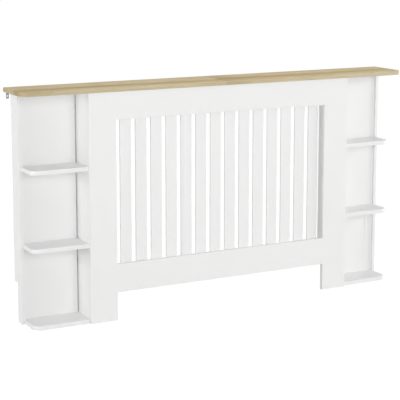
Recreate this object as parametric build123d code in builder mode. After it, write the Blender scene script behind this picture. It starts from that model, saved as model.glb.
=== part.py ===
from build123d import *
import os

# Radiator cover cabinet: a slatted box over the radiator, an open shelf unit on each side of it,
# and a top in two halves over all three.
# Frame: +X along the width, +Y towards the wall, +Z up. The origin is on the floor, in the middle
# of the width and of the depth, so the wall is at +Y and the front at -Y. All sizes are in mm.

# ---- Overall size and board thicknesses ----
overall_depth = 180.0
overall_height = 815.0
top_thickness = 15.0
front_thickness = 15.0
side_thickness = 15.0
shelf_thickness = 15.0
end_thickness = 12.0
back_thickness = 12.0

# ---- Top ----
top_corner_radius = 30.0
top_front_overhang = 10.0
top_side_overhang = 26.0

# ---- Front panel: window over a bottom rail, and a leg on each side of the air inlet ----
front_width = 1040.0
stile_width = 100.0
top_rail_height = 96.0
bottom_rail_height = 100.0
inlet_height = 100.0

# ---- Slats, fixed behind the front panel ----
slat_count = 14
slat_width = 42.0
slat_end_gap = 19.4       # between the window's side and the first slat
slat_thickness = 5.0
slat_lap = 25.0
slat_screw_inset = 12.0

# ---- Shelf units ----
bay_width = 202.0
back_from_wall = 44.0
end_proud = 8.0
shelf_front_setback = 10.0
shelf_corner_radius = 30.0
shadow_gap = 4.0          # between the back panel and the box
shelf_names = ("bottom", "middle", "upper")
skirting_depth = 30.0
skirting_height = 140.0

# ---- Angle brackets that hold the boards together ----
bracket_leg = 25.0
bracket_width = 15.0
bracket_thickness = 2.0
bracket_hole_from_corner = 16.0
bracket_edge_margin = 60.0

# ---- Plates across the seam of the top ----
plate_length = 100.0
plate_width = 30.0
plate_thickness = 2.0
plate_hole_inset = 12.0
plate_hole_pitch = 22.0
plate_edge_margin = 30.0

# ---- Wall brackets under the ends of the top ----
wall_bracket_width = 10.0
wall_bracket_drop = 24.0
wall_bracket_reach = 30.0
wall_bracket_thickness = 2.0
wall_bracket_clearance = 6.0
wall_hole_diameter = 5.0
wall_hole_drop = 15.0
wall_bracket_screw_from_wall = 20.0

# ---- Screws and dowels ----
small_shank = 3.5
small_head = 7.0
small_head_height = 2.2
small_length = 12.0
slat_screw_length = 14.0
shelf_screw_shank = 4.0
shelf_screw_head = 8.0
shelf_screw_head_height = 2.6
shelf_screw_length = 40.0
shelf_screw_inset = 35.0
dowel_diameter = 8.0
dowel_length = 30.0
dowel_in_side = 10.0
dowel_inset = 22.0
hole_clearance = 0.3
hole_bottom_clearance = 0.5
recess_length = 4.0
recess_width = 0.9
recess_depth = 1.2

# ---- Places that follow from the sizes above ----
wall_y = overall_depth / 2
board_top = overall_height - top_thickness
front_face_y = -wall_y + top_front_overhang
front_rear_y = front_face_y + front_thickness
side_outer_x = front_width / 2
side_inner_x = side_outer_x - side_thickness
end_inner_x = side_outer_x + bay_width
end_outer_x = end_inner_x + end_thickness
overall_width = 2 * (end_outer_x + top_side_overhang)
window_width = front_width - 2 * stile_width
window_bottom = inlet_height + bottom_rail_height
window_top = board_top - top_rail_height
back_rear_y = wall_y - back_from_wall
back_front_y = back_rear_y - back_thickness
back_width = bay_width - shadow_gap
end_front_y = back_front_y - end_proud
shelf_front_y = front_face_y + shelf_front_setback
slat_gap = (window_width - 2 * slat_end_gap - slat_count * slat_width) / (slat_count - 1)
shelf_pitch = (overall_height - shelf_thickness) / len(shelf_names)
sides = {"left": -1, "right": 1}

bracket_screws_at = []    # seats of the bracket screws' heads, Z out of the board
pilot_holes = {}          # board name: mouths of the holes drilled in it, Z out of the board
brackets = {"front_corner_brackets": [], "shelf_unit_brackets": [], "top_brackets": []}


def drill_later(board, seat, outward):
    """Note a screw hole in a board: seat is on the board's face, outward points out of it."""
    pilot_holes.setdefault(board, []).append(Plane(origin=seat, z_dir=outward))


def add_bracket(group, corner, leg_a, board_a, leg_b, board_b):
    """Place one angle bracket in the corner of two boards: leg_a lies on board_a, leg_b on board_b."""
    corner, leg_a, leg_b = Vector(*corner), Vector(*leg_a), Vector(*leg_b)
    brackets[group].append(Plane(origin=corner, x_dir=leg_a, z_dir=leg_a.cross(leg_b)))
    for along, outward, board in ((leg_a, leg_b, board_a), (leg_b, leg_a, board_b)):
        seat = corner + along * bracket_hole_from_corner
        drill_later(board, seat, outward)
        bracket_screws_at.append(Plane(origin=seat + outward * bracket_thickness, z_dir=outward))


def drill(board, depth):
    """Drill the noted holes of a board, inside that board's own block."""
    if board in pilot_holes:
        with Locations(*pilot_holes[board]):
            Hole(radius=small_shank / 2 + hole_clearance, depth=depth)


def screw(shank, head, head_height, length):
    """Pan-head screw with a cross recess; its head sits on Z = 0 and its point is down."""
    with BuildPart() as body:
        with BuildSketch(Plane.XZ):
            with BuildLine():
                Polyline((0, -length), (shank / 2, -length + shank), (shank / 2, 0), (head / 2, 0),
                         (head / 2, head_height / 2), (head / 3, head_height), (0, head_height),
                         close=True)
            make_face()
        revolve(axis=Axis.Z)
        with Locations((0, 0, head_height - recess_depth / 2)):
            Box(recess_length, recess_width, recess_depth, mode=Mode.SUBTRACT)
            Box(recess_width, recess_length, recess_depth, mode=Mode.SUBTRACT)
    return body.part


def copies(solid, planes):
    """One part made of the same solid at every plane."""
    with BuildPart() as group:
        with Locations(*planes):
            add(solid)
    return group.part


def save(part, name):
    """Label a finished piece and write it."""
    part.label = name
    export_step(part, f"parts/{name}.step")


# ---- Brackets between the boards, and the holes that they ask for ----
skirting_y = wall_y - skirting_depth
low_z = skirting_height + bracket_edge_margin
middle_z = board_top / 2
high_z = board_top - bracket_edge_margin
down, back = (0, 0, -1), (0, 1, 0)
end_corner_y = (back_rear_y + wall_y) / 2
rail_bracket_x = window_width / 3
bay_mid_x = (side_outer_x + end_inner_x) / 2
for side_name, s in sides.items():
    outward, inward = (s, 0, 0), (-s, 0, 0)
    side, end, back_board = (f"{kind}_panel_{side_name}" for kind in ("side", "end", "back"))
    top = f"top_board_{side_name}"
    for z in (bracket_edge_margin, middle_z, high_z):
        add_bracket("front_corner_brackets", (s * side_inner_x, front_rear_y, z),
                    back, side, inward, "front_panel")
    for z in (low_z, middle_z, high_z):
        add_bracket("shelf_unit_brackets", (s * side_outer_x, back_rear_y, z),
                    back, side, outward, back_board)
        add_bracket("shelf_unit_brackets", (s * end_inner_x, back_rear_y, z),
                    back, end, inward, back_board)
    for y in (front_rear_y + bracket_edge_margin, wall_y - bracket_edge_margin / 2):
        add_bracket("top_brackets", (s * side_inner_x, y, board_top), down, side, inward, top)
    add_bracket("top_brackets", (s * end_inner_x, end_corner_y, board_top), down, end, inward, top)
    for x, y, board in ((rail_bracket_x, front_rear_y, "front_panel"),
                        (bay_mid_x, back_rear_y, back_board)):
        add_bracket("top_brackets", (s * x, y, board_top), down, board, back, top)

# ---- Plates and wall brackets under the top ----
plate_ys = (front_rear_y + slat_thickness + plate_edge_margin + plate_width / 2,
            wall_y - plate_edge_margin - plate_width / 2)
plate_screw_xs = [s * (plate_length / 2 - plate_hole_inset - i * plate_hole_pitch)
                  for s in sides.values() for i in range(2)]
plate_screws_at = []
for x in plate_screw_xs:
    for y in plate_ys:
        drill_later("top_board_left" if x < 0 else "top_board_right", (x, y, board_top), down)
        plate_screws_at.append(Plane(origin=(x, y, board_top - plate_thickness), z_dir=down))

wall_bracket_x = end_outer_x + wall_bracket_clearance + wall_bracket_width / 2
wall_bracket_screws_at = []
for side_name, s in sides.items():
    x, y = s * wall_bracket_x, wall_y - wall_bracket_screw_from_wall
    drill_later(f"top_board_{side_name}", (x, y, board_top), down)
    wall_bracket_screws_at.append(
        Plane(origin=(x, y, board_top - wall_bracket_thickness), z_dir=down))

# ---- Slats: screwed to the back of the front panel, over and under the window ----
slat_xs = [-window_width / 2 + slat_end_gap + slat_width / 2 + i * (slat_width + slat_gap)
           for i in range(slat_count)]
slat_rear_y = front_rear_y + slat_thickness
slat_bottom = window_bottom - slat_lap
slat_top = window_top + slat_lap
slat_screw_zs = (slat_bottom + slat_screw_inset, slat_top - slat_screw_inset)

# ---- Screws from behind the back panels, and dowels in the side panels, for every shelf ----
shelf_tops = [shelf_thickness + level * shelf_pitch for level in range(len(shelf_names))]
shelf_mid_zs = [shelf_top - shelf_thickness / 2 for shelf_top in shelf_tops]
shelf_screw_xs = (side_outer_x + shelf_screw_inset, end_inner_x - shelf_screw_inset)
dowel_ys = (front_rear_y + dowel_inset, back_front_y - dowel_inset)
dowel_depth = dowel_length - dowel_in_side

os.makedirs("parts", exist_ok=True)
pilot_depth = small_length - bracket_thickness + hole_bottom_clearance

# ---- Front panel, cut from one board ----
with BuildPart() as front_panel:
    with BuildSketch(Plane.XZ.offset(-front_rear_y)):
        Rectangle(front_width, board_top, align=(Align.CENTER, Align.MIN))
        Rectangle(window_width, inlet_height, align=(Align.CENTER, Align.MIN), mode=Mode.SUBTRACT)
        with Locations((0, window_bottom)):
            Rectangle(window_width, window_top - window_bottom,
                      align=(Align.CENTER, Align.MIN), mode=Mode.SUBTRACT)
    extrude(amount=front_thickness)
    drill("front_panel", pilot_depth)
    with Locations(*[Plane(origin=(x, front_rear_y, z), z_dir=back)
                     for x in slat_xs for z in slat_screw_zs]):
        Hole(radius=small_shank / 2 + hole_clearance,
             depth=slat_screw_length - slat_thickness + hole_bottom_clearance)
save(front_panel.part, "front_panel")

for number, slat_x in enumerate(slat_xs, start=1):
    with BuildPart() as slat:
        with BuildSketch(Plane.XZ.offset(-slat_rear_y)):
            with Locations((slat_x, slat_bottom)):
                Rectangle(slat_width, slat_top - slat_bottom, align=(Align.CENTER, Align.MIN))
        extrude(amount=slat_thickness)
        with Locations(*[Plane(origin=(slat_x, slat_rear_y, z), z_dir=back) for z in slat_screw_zs]):
            Hole(radius=small_shank / 2 + hole_clearance)
    save(slat.part, f"slat_{number:02d}")

# ---- Upright boards of the box and of the shelf units ----
for side_name, s in sides.items():
    name = f"side_panel_{side_name}"
    with BuildPart() as side_panel:
        with BuildSketch(Plane.YZ.offset(s * side_inner_x)):
            with BuildLine():
                Polyline((front_rear_y, 0), (skirting_y, 0), (skirting_y, skirting_height),
                         (wall_y, skirting_height), (wall_y, board_top), (front_rear_y, board_top),
                         close=True)
            make_face()
        extrude(amount=s * side_thickness)
        drill(name, pilot_depth)
        with Locations(*[Plane(origin=(s * side_outer_x, y, z), z_dir=(s, 0, 0))
                         for y in dowel_ys for z in shelf_mid_zs]):
            Hole(radius=dowel_diameter / 2 + hole_clearance,
                 depth=dowel_in_side + hole_bottom_clearance)
    save(side_panel.part, name)

    name = f"end_panel_{side_name}"
    with BuildPart() as end_panel:
        with BuildSketch(Plane.YZ.offset(s * end_inner_x)):
            with BuildLine():
                Polyline((end_front_y, 0), (skirting_y, 0), (skirting_y, skirting_height),
                         (wall_y, skirting_height), (wall_y, board_top), (end_front_y, board_top),
                         close=True)
            make_face()
        extrude(amount=s * end_thickness)
        drill(name, pilot_depth)
    save(end_panel.part, name)

    name = f"back_panel_{side_name}"
    with BuildPart() as back_panel:
        with BuildSketch(Plane.XZ.offset(-back_rear_y)):
            with Locations((s * (end_inner_x - back_width / 2), 0)):
                Rectangle(back_width, board_top, align=(Align.CENTER, Align.MIN))
        extrude(amount=back_thickness)
        drill(name, pilot_depth)
        with Locations(*[Plane(origin=(s * x, back_rear_y, z), z_dir=back)
                         for x in shelf_screw_xs for z in shelf_mid_zs]):
            Hole(radius=shelf_screw_shank / 2 + hole_clearance)
    save(back_panel.part, name)

    # Shelves: against the back panel and the box, with the outer front corner rounded
    for shelf_name, shelf_top in zip(shelf_names, shelf_tops):
        with BuildPart() as shelf:
            with BuildSketch(Plane.XY.offset(shelf_top - shelf_thickness)) as outline:
                with Locations((s * bay_mid_x, shelf_front_y)):
                    Rectangle(bay_width, back_front_y - shelf_front_y,
                              align=(Align.CENTER, Align.MIN))
                front_corners = outline.vertices().group_by(Axis.Y)[0].sort_by(Axis.X)
                fillet(front_corners[-1 if s > 0 else 0], radius=shelf_corner_radius)
            extrude(amount=shelf_thickness)
            axis_z = shelf_top - shelf_thickness / 2
            with Locations(*[Plane(origin=(s * x, back_front_y, axis_z), z_dir=back)
                             for x in shelf_screw_xs]):
                Hole(radius=shelf_screw_shank / 2 + hole_clearance,
                     depth=shelf_screw_length - back_thickness + hole_bottom_clearance)
            with Locations(*[Plane(origin=(s * side_outer_x, y, axis_z), z_dir=(-s, 0, 0))
                             for y in dowel_ys]):
                Hole(radius=dowel_diameter / 2 + hole_clearance,
                     depth=dowel_depth + hole_bottom_clearance)
        save(shelf.part, f"{shelf_name}_shelf_{side_name}")

    # Half of the top, with its outer front corner rounded
    name = f"top_board_{side_name}"
    with BuildPart() as top_board:
        with BuildSketch(Plane.XY.offset(board_top)) as outline:
            with Locations((s * overall_width / 4, 0)):
                Rectangle(overall_width / 2, overall_depth)
            front_corners = outline.vertices().group_by(Axis.Y)[0].sort_by(Axis.X)
            fillet(front_corners[-1 if s > 0 else 0], radius=top_corner_radius)
        extrude(amount=top_thickness)
        drill(name, pilot_depth)
    save(top_board.part, name)

    # Steel angle under the end of the top, with the hole for the wall screw
    with BuildPart() as wall_bracket:
        with BuildSketch(Plane.YZ.offset(s * wall_bracket_x)):
            with BuildLine():
                Polyline((wall_y, board_top), (wall_y, board_top - wall_bracket_drop),
                         (wall_y - wall_bracket_thickness, board_top - wall_bracket_drop),
                         (wall_y - wall_bracket_thickness, board_top - wall_bracket_thickness),
                         (wall_y - wall_bracket_reach, board_top - wall_bracket_thickness),
                         (wall_y - wall_bracket_reach, board_top), close=True)
            make_face()
        extrude(amount=wall_bracket_width / 2, both=True)
        wall_hole = Plane(origin=(s * wall_bracket_x, wall_y, board_top - wall_hole_drop), z_dir=back)
        with Locations(wall_hole):
            Hole(radius=wall_hole_diameter / 2, depth=2 * wall_bracket_thickness)
        screw_hole = Plane(origin=(s * wall_bracket_x, wall_y - wall_bracket_screw_from_wall,
                                   board_top - wall_bracket_thickness), z_dir=down)
        with Locations(screw_hole):
            Hole(radius=small_shank / 2 + hole_clearance, depth=2 * wall_bracket_thickness)
    save(wall_bracket.part, f"wall_bracket_{side_name}")

# ---- Steel plates across the seam of the top ----
with BuildPart() as joining_plates:
    with BuildSketch(Plane.XY.offset(board_top)):
        with Locations(*[(0, y) for y in plate_ys]):
            Rectangle(plate_length, plate_width)
    extrude(amount=-plate_thickness)
    with Locations(*plate_screws_at):
        Hole(radius=small_shank / 2 + hole_clearance, depth=2 * plate_thickness)
save(joining_plates.part, "joining_plates")

# ---- Angle brackets: one shape, placed in every corner ----
with BuildPart() as angle_bracket:
    with BuildSketch(Plane.XY.offset(-bracket_width / 2)):
        with BuildLine():
            Polyline((0, 0), (bracket_leg, 0), (bracket_leg, bracket_thickness),
                     (bracket_thickness, bracket_thickness), (bracket_thickness, bracket_leg),
                     (0, bracket_leg), close=True)
        make_face()
    extrude(amount=bracket_width)
    holes = [Plane(origin=(bracket_hole_from_corner, bracket_thickness, 0), z_dir=(0, 1, 0)),
             Plane(origin=(bracket_thickness, bracket_hole_from_corner, 0), z_dir=(1, 0, 0))]
    with Locations(*holes):
        Hole(radius=small_shank / 2 + hole_clearance, depth=2 * bracket_thickness)
for group_name, planes in brackets.items():
    save(copies(angle_bracket.part, planes), group_name)

# ---- Screws and dowels ----
small_screw = screw(small_shank, small_head, small_head_height, small_length)
save(copies(small_screw, bracket_screws_at), "bracket_screws")
save(copies(small_screw, plate_screws_at), "joining_plate_screws")
save(copies(small_screw, wall_bracket_screws_at), "wall_bracket_screws")

slat_screw = screw(small_shank, small_head, small_head_height, slat_screw_length)
slat_screws_at = [Plane(origin=(x, slat_rear_y, z), z_dir=back) for x in slat_xs for z in slat_screw_zs]
save(copies(slat_screw, slat_screws_at), "slat_screws")

shelf_screw = screw(shelf_screw_shank, shelf_screw_head, shelf_screw_head_height, shelf_screw_length)
shelf_screws_at = [Plane(origin=(s * x, back_rear_y, z), z_dir=back)
                   for s in sides.values() for x in shelf_screw_xs for z in shelf_mid_zs]
save(copies(shelf_screw, shelf_screws_at), "shelf_screws")

with BuildPart() as shelf_dowels:
    with Locations(*[Plane(origin=(s * (side_outer_x - dowel_in_side), y, z), z_dir=(s, 0, 0))
                     for s in sides.values() for y in dowel_ys for z in shelf_mid_zs]):
        Cylinder(dowel_diameter / 2, dowel_length, align=(Align.CENTER, Align.CENTER, Align.MIN))
save(shelf_dowels.part, "shelf_dowels")
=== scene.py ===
"""Looks of the radiator cover cabinet: finishes, eased edges, floor, light and camera.

Lengths are metres in the model's own frame: X runs along the wall, the front faces -Y, Z is up.
Colours are linear. Each section holds its own named values, and the last lines build the scene.
"""

import math

import bpy
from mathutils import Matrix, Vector


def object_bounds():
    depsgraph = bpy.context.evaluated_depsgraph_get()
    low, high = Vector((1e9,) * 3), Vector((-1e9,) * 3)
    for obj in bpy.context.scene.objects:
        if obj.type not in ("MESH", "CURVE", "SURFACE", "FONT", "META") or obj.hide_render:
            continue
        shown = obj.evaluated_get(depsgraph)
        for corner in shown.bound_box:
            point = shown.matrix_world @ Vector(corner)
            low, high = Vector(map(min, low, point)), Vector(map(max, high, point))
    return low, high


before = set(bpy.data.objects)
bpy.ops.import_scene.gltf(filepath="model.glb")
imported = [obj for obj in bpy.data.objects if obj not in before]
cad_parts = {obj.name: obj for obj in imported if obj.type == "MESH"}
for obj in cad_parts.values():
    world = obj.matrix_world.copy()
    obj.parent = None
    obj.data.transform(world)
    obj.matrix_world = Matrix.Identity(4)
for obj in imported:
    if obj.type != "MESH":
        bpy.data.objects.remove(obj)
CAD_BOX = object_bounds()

MM = 0.001


# --- Colours and noises ---


def grey(level, warmth=0.0):
    """A near-neutral colour, a little warm where warmth is above 0."""
    return (level, level * (1 - warmth), level * (1 - 2 * warmth), 1.0)


def per_metre(number):
    """A noise scale with the same number of features per metre along each axis."""
    return (number, number, number)


WHITE = grey(1.0)
# Where most values of a noise lie, from 0 to 1.
NOISE_SPAN = (0.3, 0.7)
# How many finer layers a noise adds to its first one, in a plain and in a richer noise.
PLAIN_DETAIL = 2.0
RICH_DETAIL = 3.0


# --- Node trees ---

# Sockets of a colour mix, which share their names with those of a number mix.
MIX_FACTOR = 0
MIX_FIRST = 6
MIX_SECOND = 7
MIX_RESULT = 2


class Nodes:
    """The node tree of a material or a world while it is built."""

    def __init__(self, owner):
        self.owner = owner
        self.owner.use_nodes = True
        self.tree = owner.node_tree
        self.tree.nodes.clear()

    def fill(self, socket, value):
        """Links another node's output to a socket, or sets the socket to a plain value."""
        if isinstance(value, bpy.types.NodeSocket):
            self.tree.links.new(value, socket)
        else:
            socket.default_value = value

    def add(self, kind, settings=None, **sockets):
        """A new node with its settings, and its sockets filled by name (_ stands for a space)."""
        node = self.tree.nodes.new(kind)
        for name, value in (settings or {}).items():
            setattr(node, name, value)
        for name, value in sockets.items():
            self.fill(node.inputs[name.replace("_", " ")], value)
        return node

    def combine(self, kind, *values, **settings):
        """The first output of a new node whose first sockets are filled in their order."""
        node = self.add(kind, settings)
        for socket, value in zip(node.inputs, values):
            self.fill(socket, value)
        return node.outputs[0]

    def maths(self, operation, *values):
        return self.combine("ShaderNodeMath", *values, operation=operation)

    def seen_directly(self):
        """1 on rays that show a background: from the camera, from gloss and through glass."""
        path = self.add("ShaderNodeLightPath")
        seen = path.outputs["Is Camera Ray"]
        for ray in ("Is Glossy Ray", "Is Transmission Ray"):
            seen = self.maths("MAXIMUM", seen, path.outputs[ray])
        return seen

    def end_with(self, output_kind, lighting, shown):
        """Ends the tree: one shader lights the object, and the other is what is seen."""
        both = self.combine("ShaderNodeMixShader", self.seen_directly(), lighting, shown)
        self.add(output_kind, Surface=both)
        return self.owner


class Finish(Nodes):
    """A procedural material of the cabinet while it is built."""

    def __init__(self, name):
        super().__init__(bpy.data.materials.new(name))
        self.place = self.add("ShaderNodeTexCoord").outputs["Object"]

    def stretch(self, scale, offset=(0, 0, 0), place=None):
        """Coordinates stretched by a factor along each axis."""
        mapping = self.add(
            "ShaderNodeMapping", Vector=place or self.place, Scale=scale, Location=offset
        )
        return mapping.outputs["Vector"]

    def noise(self, place, detail=PLAIN_DETAIL):
        """A smooth noise from 0 to 1, with one feature per unit of the stretched place."""
        node = self.add("ShaderNodeTexNoise", Vector=place, Scale=1.0, Detail=detail)
        return node.outputs["Fac"]

    def spread(self, value, low, high, to_low=0.0, to_high=1.0, **settings):
        """Takes the part of a value from low to high and spreads it over a new range."""
        node = self.add(
            "ShaderNodeMapRange", settings, Value=value, From_Min=low, From_Max=high,
            To_Min=to_low, To_Max=to_high,
        )
        return node.outputs["Result"]

    def times(self, first, second):
        return self.maths("MULTIPLY", first, second)

    def mix(self, factor, first, second, blend="MIX"):
        """The first colour, blended with the second by a factor from 0 to 1."""
        node = self.add("ShaderNodeMix", {"data_type": "RGBA", "blend_type": blend})
        self.fill(node.inputs[MIX_FACTOR], factor)
        self.fill(node.inputs[MIX_FIRST], first)
        self.fill(node.inputs[MIX_SECOND], second)
        return node.outputs[MIX_RESULT]

    def along(self, place, axis):
        """One coordinate of a place or a direction."""
        return self.add("ShaderNodeSeparateXYZ", Vector=place).outputs[axis]

    def shift_y(self, place, amount):
        """Coordinates moved along Y by an amount that may change from place to place."""
        move = self.add("ShaderNodeCombineXYZ", Y=amount).outputs["Vector"]
        return self.combine("ShaderNodeVectorMath", place, move, operation="ADD")

    def stripe(self, place, axis, middle, half_width):
        """1 where a coordinate equals middle, falling smoothly to 0 at half_width from it."""
        aside = self.maths("SUBTRACT", self.along(place, axis), middle)
        distance = self.maths("ABSOLUTE", aside)
        return self.spread(distance, 0.0, half_width, 1.0, 0.0, interpolation_type="SMOOTHSTEP")

    def lie(self):
        """1 on a face that looks straight up, -1 on one that looks down, 0 on upright edges."""
        return self.along(self.add("ShaderNodeTexCoord").outputs["Normal"], "Z")

    def bump(self, height, depth):
        """The direction of a surface that a height from 0 to 1 raises by up to depth."""
        return self.add("ShaderNodeBump", Height=height, Distance=depth).outputs["Normal"]

    def surface(self, **sockets):
        """Ends the material with one surface shader."""
        shader = self.add("ShaderNodeBsdfPrincipled", **sockets)
        self.add("ShaderNodeOutputMaterial", Surface=shader.outputs["BSDF"])
        return self.owner


# --- White paint ---

# Tone and roughness each change slowly between two values, and PEEL is the orange peel.
PAINT_TONES = (grey(0.836, 0.002), grey(0.856, 0.001))
PAINT_TONE_SCALE = per_metre(4)
PAINT_ROUGHNESS = (0.4, 0.48)
PAINT_GLOSS_SCALE = per_metre(60)
PAINT_PEEL_SCALE = per_metre(900)
PAINT_PEEL_DEPTH = 0.02 * MM
PAINT_IOR = 1.46


def painted_board():
    """White paint on fibreboard: a faint orange peel, with slow changes of tone and gloss."""
    paint = Finish("white_paint")
    clouds = paint.noise(paint.stretch(PAINT_TONE_SCALE), RICH_DETAIL)
    gloss = paint.noise(paint.stretch(PAINT_GLOSS_SCALE))
    peel = paint.noise(paint.stretch(PAINT_PEEL_SCALE))
    return paint.surface(
        Base_Color=paint.mix(clouds, *PAINT_TONES),
        Roughness=paint.spread(gloss, *NOISE_SPAN, *PAINT_ROUGHNESS),
        IOR=PAINT_IOR,
        Normal=paint.bump(peel, PAINT_PEEL_DEPTH),
    )


# --- Oak print ---

# The ground and its broad bands, the marks on them, and the pale backing of the underside.
OAK_LIGHT = (0.97, 0.845, 0.56, 1.0)
OAK_MIDDLE = (0.88, 0.725, 0.425, 1.0)
OAK_BLUSH = (0.88, 0.65, 0.38, 1.0)
OAK_DARK = (0.50, 0.345, 0.13, 1.0)
OAK_GOLD = (0.60, 0.42, 0.165, 1.0)
OAK_PORE = (0.28, 0.19, 0.09, 1.0)
BACKING_LIGHT = (0.68, 0.675, 0.66, 1.0)
BACKING_DARK = (0.64, 0.63, 0.61, 1.0)
# Painted shade: what the print is multiplied by on the upright edge strips, darkening them
# against the top as the light falls.
OAK_EDGE_PAINTED_SHADE = (0.665, 0.685, 0.74, 1.0)

# Noise scales: features per metre along the grain (X), across it (Y) and through it (Z).
BEND_SCALE = (1.3, 5.0, 5.0)
BAND_SCALE = (1.4, 20.0, 110.0)
FADE_SCALE = (3.0, 8.0, 8.0)
BLUSH_SCALE = (3.5, 16.0, 60.0)
FIBRE_SCALE = (9.0, 620.0, 620.0)
PORE_SCALE = (24.0, 900.0, 900.0)

# The part of each noise over which its mark goes from least to most.
BEND_PART = (0.25, 0.75)
BAND_PART = (0.38, 0.62)
FADE_PART = (0.35, 0.6)
BLUSH_PART = (0.5, 0.66)
FIBRE_PART = (0.36, 0.7)
PORE_PART = (0.6, 0.7)

# How much of the tone under it each mark covers at its strongest. The streak's strongest
# cover changes along its length, from the first value to the second.
BLUSH_COVER = 0.6
RING_COVER = 0.38
STREAK_COVER = (0.4, 0.85)
PATCH_COVER = 0.3
FIBRE_COVER = 0.24
PORE_COVER = 0.42

# The grain wanders across the board within GRAIN_BEND.
GRAIN_BEND = 24 * MM
STREAK_HALF_WIDTH = 44 * MM
OAK_ROUGHNESS = (0.55, 0.68)
OAK_IOR = 1.45
OAK_SPECULAR = 0.12
OAK_FIBRE_DEPTH = 0.04 * MM
# A face lies flat where its normal points up or down by more than this.
LYING = 0.5

# The log whose rings show as arches: how far its heart lies from the streak, how it slopes
# away from the board, and how unevenly it grew.
HEART_ASIDE = 45 * MM
HEART_SLOPE = 0.09
HEART_WOBBLE = 50 * MM
HEART_WOBBLE_SCALE = (1.9, 7.0, 7.0)
RING_WIDTH = 11 * MM
RING_UNEVENNESS = 2.2
RING_UNEVEN_SCALE = (0.8, 38.0, 38.0)
# The parts of a ring's width over which it darkens and ends.
RING_RISE = (0.3, 0.9)
RING_END = (0.9, 1.0)

# The print on each half of the top: its place in the noises, the line of its streak, and the
# middle and reach of its darker patch. The left patch is at the left end of the top.
OAK_PRINTS = {
    "left": {
        "offset": (0.0, 0.0, 0.0),
        "streak_y": -40 * MM,
        "patch_x": CAD_BOX[0][0],
        "patch_reach": 260 * MM,
    },
    "right": {
        "offset": (7.3, 2.9, 5.1),
        "streak_y": -20 * MM,
        "patch_x": 20 * MM,
        "patch_reach": 140 * MM,
    },
}


def bent_grain(oak, offset):
    """Coordinates whose grain wanders a little across the board."""
    bend = oak.spread(oak.noise(oak.stretch(BEND_SCALE, offset)), *BEND_PART, -0.5, 0.5)
    return oak.shift_y(oak.place, oak.times(bend, GRAIN_BEND))


def growth_rings(oak, place, heart_y):
    """Growth rings of a log that leaves the board at a slight angle, as long arches."""
    wobble = oak.noise(oak.stretch(HEART_WOBBLE_SCALE, place=place))
    uneven = oak.noise(oak.stretch(RING_UNEVEN_SCALE, place=place))
    sideways = oak.maths("SUBTRACT", oak.along(place, "Y"), heart_y)
    slope = oak.times(oak.along(place, "X"), HEART_SLOPE)
    below = oak.maths("ADD", slope, oak.times(wobble, HEART_WOBBLE))
    squares = [oak.maths("POWER", part, 2.0) for part in (sideways, below)]
    radius = oak.maths("SQRT", oak.maths("ADD", *squares))
    count = oak.maths("DIVIDE", radius, RING_WIDTH)
    count = oak.maths("ADD", count, oak.times(uneven, RING_UNEVENNESS))
    phase = oak.maths("FRACT", count)
    rise = oak.spread(phase, *RING_RISE)
    end = oak.spread(phase, *RING_END, 1.0, 0.0)
    return oak.times(oak.times(rise, rise), end)


def oak_laminate(name, offset, streak_y, patch_x, patch_reach):
    """Light oak print, its grain along X: a golden streak, arched rings, fibres and pores.

    The streak runs at streak_y, and the print is darker within patch_reach of patch_x.
    """
    oak = Finish(name)
    place = bent_grain(oak, offset)

    def grain_noise(scale, detail=PLAIN_DETAIL):
        """A noise that follows the bent grain."""
        return oak.noise(oak.stretch(scale, offset, place), detail)

    lie = oak.lie()
    flat = oak.maths("GREATER_THAN", oak.maths("ABSOLUTE", lie), LYING)
    under = oak.maths("LESS_THAN", lie, -LYING)
    bands = oak.spread(grain_noise(BAND_SCALE, RICH_DETAIL), *BAND_PART)
    blush = oak.spread(grain_noise(BLUSH_SCALE), *BLUSH_PART)
    rings = oak.times(growth_rings(oak, place, streak_y + HEART_ASIDE), flat)
    streak = oak.stripe(place, "Y", streak_y, STREAK_HALF_WIDTH)
    fade = oak.spread(oak.noise(oak.stretch(FADE_SCALE, offset)), *FADE_PART, *STREAK_COVER)
    patch = oak.stripe(place, "X", patch_x, patch_reach)
    fibres = grain_noise(FIBRE_SCALE, RICH_DETAIL)
    pores = oak.spread(grain_noise(PORE_SCALE), *PORE_PART)
    marks = (
        (bands, OAK_MIDDLE),
        (oak.times(blush, BLUSH_COVER), OAK_BLUSH),
        (oak.times(rings, RING_COVER), OAK_DARK),
        (oak.times(streak, fade), OAK_GOLD),
        (oak.times(patch, PATCH_COVER), OAK_DARK),
        (oak.spread(fibres, *FIBRE_PART, 0.0, FIBRE_COVER), OAK_DARK),
        (oak.times(pores, PORE_COVER), OAK_PORE),
    )
    tone = OAK_LIGHT
    for cover, colour in marks:
        tone = oak.mix(cover, tone, colour)
    # Painted shade: on faces that are not flat, the edge strips, the print is multiplied darker.
    tone = oak.mix(flat, oak.mix(1.0, tone, OAK_EDGE_PAINTED_SHADE, "MULTIPLY"), tone)
    backing = oak.mix(bands, BACKING_LIGHT, BACKING_DARK)
    return oak.surface(
        Base_Color=oak.mix(under, tone, backing),
        Roughness=oak.spread(fibres, *NOISE_SPAN, *OAK_ROUGHNESS),
        IOR=OAK_IOR,
        Specular_IOR_Level=OAK_SPECULAR,
        Normal=oak.bump(fibres, OAK_FIBRE_DEPTH),
    )


# --- Zinc-plated steel and beech ---

# Pressed plates are duller than screws, and their flakes are larger. Their darker tone is painted
# shade, matched to a plate that sits in shade under the top.
PLATE_ZINC_WITH_PAINTED_SHADE = {
    "tone": (0.33, 0.33, 0.36), "flake_scale": per_metre(350), "roughness": (0.34, 0.46)
}
SCREW_ZINC = {
    "tone": (0.7, 0.7, 0.7), "flake_scale": per_metre(900), "roughness": (0.26, 0.36)
}
# Over FLAKE_PART of the way out from a flake's middle, its tone falls to this share.
FLAKE_SHADE = 0.8
FLAKE_PART = (0.0, 0.8)
ZINC_HAZE_SCALE = per_metre(120)

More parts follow.
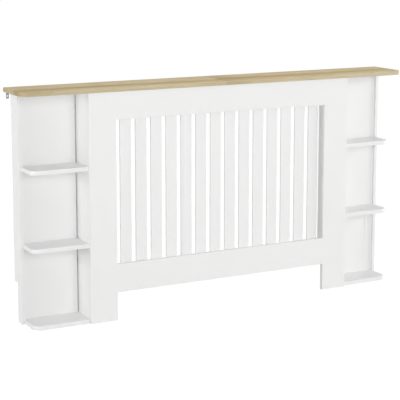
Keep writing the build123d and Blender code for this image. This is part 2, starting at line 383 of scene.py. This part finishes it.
BEECH_TONES = ((0.6, 0.42, 0.26, 1.0), (0.42, 0.25, 0.13, 1.0))
BEECH_FLECK_SCALE = (120.0, 900.0, 900.0)
BEECH_FLECK_PART = (0.4, 0.65)
BEECH_FLECK_DEPTH = 0.05 * MM
BEECH_ROUGHNESS = 0.6


def zinc_steel(name, tone, flake_scale, roughness):
    """Zinc-plated steel: metal with a fine flaky variation of tone and roughness."""
    steel = Finish(name)
    flakes = steel.add(
        "ShaderNodeTexVoronoi", Vector=steel.stretch(flake_scale), Scale=1.0
    ).outputs["Distance"]
    haze = steel.noise(steel.stretch(ZINC_HAZE_SCALE), RICH_DETAIL)
    shaded = tuple(FLAKE_SHADE * part for part in tone)
    return steel.surface(
        Base_Color=steel.mix(steel.spread(flakes, *FLAKE_PART), tone + (1.0,), shaded + (1.0,)),
        Metallic=1.0,
        Roughness=steel.spread(haze, *NOISE_SPAN, *roughness),
    )


def beech_dowel():
    """Turned beech: short reddish flecks on a pale pink-brown ground, along X."""
    beech = Finish("beech")
    flecks = beech.noise(beech.stretch(BEECH_FLECK_SCALE))
    return beech.surface(
        Base_Color=beech.mix(beech.spread(flecks, *BEECH_FLECK_PART), *BEECH_TONES),
        Roughness=BEECH_ROUGHNESS,
        Normal=beech.bump(flecks, BEECH_FLECK_DEPTH),
    )


# --- Pieces ---

# Radius of the eased edges on painted boards, thin slats, the top and pressed steel.
BOARD_EASE = 0.7 * MM
SLAT_EASE = 0.3 * MM
TOP_EASE = 0.5 * MM
STEEL_EASE = 0.25 * MM
EASE_STEPS = 2
# Edges that turn by more than SHARP_EDGE are eased. Before that, points within WELD_GAP are
# joined, and so are faces that turn by less than FLAT_JOIN.
WELD_GAP = 0.005 * MM
FLAT_JOIN = math.radians(0.5)
SHARP_EDGE = math.radians(35)
# How much large faces outweigh small ones in the shading: 50 is neutral, 100 is the most.
BROAD_FACE_WEIGHT = 100


def dress(piece, finish):
    """Gives a piece of the frame its finish, on the object rather than on its mesh."""
    for slot in piece.material_slots:
        slot.link = "OBJECT"
        slot.material = finish


def ease(piece, radius):
    """Rounds a piece's sharp edges slightly, as sanding and edging leave them."""
    weld = piece.modifiers.new("weld", "WELD")
    weld.merge_threshold = WELD_GAP
    flat = piece.modifiers.new("flat_faces", "DECIMATE")
    flat.decimate_type = "DISSOLVE"
    flat.angle_limit = FLAT_JOIN
    bevel = piece.modifiers.new("eased_edges", "BEVEL")
    bevel.width = radius
    bevel.segments = EASE_STEPS
    bevel.limit_method = "ANGLE"
    bevel.angle_limit = SHARP_EDGE
    bevel.use_clamp_overlap = False


def shade_evenly(piece):
    """Keeps a piece's broad faces shaded flat right up to their eased edges."""
    shading = piece.modifiers.new("even_shading", "WEIGHTED_NORMAL")
    shading.weight = BROAD_FACE_WEIGHT


def dress_pieces():
    """Gives every piece its material, and all but screws and dowels their eased edges."""
    paint = painted_board()
    oaks = {
        f"top_board_{side}": oak_laminate(f"oak_{side}", **layout)
        for side, layout in OAK_PRINTS.items()
    }
    plate_steel_painted_shade = zinc_steel("plate_zinc", **PLATE_ZINC_WITH_PAINTED_SHADE)
    screw_steel = zinc_steel("screw_zinc", **SCREW_ZINC)
    beech = beech_dowel()
    for name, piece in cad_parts.items():
        if name in oaks:
            dress(piece, oaks[name])
            ease(piece, TOP_EASE)
            shade_evenly(piece)
        elif name.endswith("_screws"):
            dress(piece, screw_steel)
        elif name.endswith("_dowels"):
            dress(piece, beech)
        elif "bracket" in name or "plates" in name:
            dress(piece, plate_steel_painted_shade)
            ease(piece, STEEL_EASE)
        else:
            dress(piece, paint)
            ease(piece, SLAT_EASE if name.startswith("slat_") else BOARD_EASE)


# --- Floor and surround ---

# The floor is pale to the light. Where it is seen it is darker but glows, so that open floor
# reads white and shadows stay faint.
FLOOR_SIZE = 40.0
FLOOR_TONE = (0.8, 0.8, 0.79, 1.0)
FLOOR_SEEN_TONE = grey(0.12)
FLOOR_GLOW = 0.96

# Strength of the surround: as light on the object, and where it is seen.
AMBIENT = 0.335
SEEN_WHITE = 1.0


def floor_finish():
    """Pale floor: plain matt to the light, and seen as white except where it is in shadow."""
    floor = Nodes(bpy.data.materials.new("studio_floor"))
    matt = floor.add("ShaderNodeBsdfDiffuse", Color=FLOOR_TONE)
    shaded = floor.add("ShaderNodeBsdfDiffuse", Color=FLOOR_SEEN_TONE)
    glow = floor.add("ShaderNodeEmission", Color=WHITE, Strength=FLOOR_GLOW)
    seen = floor.combine("ShaderNodeAddShader", shaded.outputs[0], glow.outputs[0])
    return floor.end_with("ShaderNodeOutputMaterial", matt.outputs[0], seen)


def build_floor():
    """A flat floor under the cabinet, far larger than any view of it."""
    half = FLOOR_SIZE / 2
    corners = [(-half, -half, 0), (half, -half, 0), (half, half, 0), (-half, half, 0)]
    mesh = bpy.data.meshes.new("floor")
    mesh.from_pydata(corners, [], [(0, 1, 2, 3)])
    mesh.materials.append(floor_finish())
    floor = bpy.data.objects.new("floor", mesh)
    bpy.context.scene.collection.objects.link(floor)


def build_world():
    """Even white surround: plain light on the object, pure white where it is seen."""
    sky = Nodes(bpy.data.worlds.new("studio"))
    lighting = sky.add("ShaderNodeBackground", Color=WHITE, Strength=AMBIENT)
    seen = sky.add("ShaderNodeBackground", Color=WHITE, Strength=SEEN_WHITE)
    bpy.context.scene.world = sky.end_with(
        "ShaderNodeOutputWorld", lighting.outputs[0], seen.outputs[0]
    )


# --- Softboxes and camera ---

# Four softboxes around the cabinet and a weak one above it, all turned to its middle.
SOFTBOX_AIM = (0.0, 0.0, 0.45)
SOFTBOXES = {
    "front": {"place": (-0.5, -5.0, 1.2), "size": 3.0, "power": 119.0},
    "left": {"place": (-3.2, -0.1, 0.8), "size": 1.0, "power": 28.0},
    "right": {"place": (5.0, -1.5, 1.6), "size": 3.0, "power": 116.0},
    "back": {"place": (-0.6, 5.0, 1.4), "size": 2.0, "power": 75.0},
    "top": {"place": (0.0, -1.0, 4.0), "size": 3.0, "power": 12.0},
}

# The camera stands to the left of the cabinet, turned right and slightly down. Its focal
# length is given in pixels of a picture PICTURE_WIDTH wide, its angles in radians.
PICTURE_WIDTH = 400
SENSOR_WIDTH = 36.0
FOCAL_PIXELS = 1276.0
CAMERA_PLACE = (-2.1516, -4.0034, 1.3138)
CAMERA_YAW = 0.4819
CAMERA_PITCH = 0.1575
CAMERA_SHIFT = -0.15
# An unturned camera looks straight down: this tilt makes it look level along +Y.
LEVEL = math.pi / 2


def build_softboxes():
    """Large soft lamps that the camera doesn't see."""
    for name, box in SOFTBOXES.items():
        lamp = bpy.data.lights.new(f"softbox_{name}", "AREA")
        lamp.shape = "SQUARE"
        lamp.size = box["size"]
        lamp.energy = box["power"]
        holder = bpy.data.objects.new(lamp.name, lamp)
        holder.location = box["place"]
        aim = Vector(SOFTBOX_AIM) - Vector(box["place"])
        holder.rotation_euler = aim.to_track_quat("-Z", "Y").to_euler()
        holder.visible_camera = False
        bpy.context.scene.collection.objects.link(holder)


def build_camera():
    """A long lens at the photo's angle."""
    camera = bpy.data.cameras.new("camera")
    camera.sensor_width = SENSOR_WIDTH
    camera.lens = FOCAL_PIXELS / PICTURE_WIDTH * SENSOR_WIDTH
    camera.shift_y = CAMERA_SHIFT
    holder = bpy.data.objects.new("camera", camera)
    holder.location = CAMERA_PLACE
    holder.rotation_euler = (LEVEL - CAMERA_PITCH, 0.0, -CAMERA_YAW)
    bpy.context.scene.collection.objects.link(holder)
    bpy.context.scene.camera = holder


# --- Building ---


dress_pieces()
build_floor()
build_world()
build_softboxes()
build_camera()
bpy.context.scene.view_settings.view_transform = "Standard"
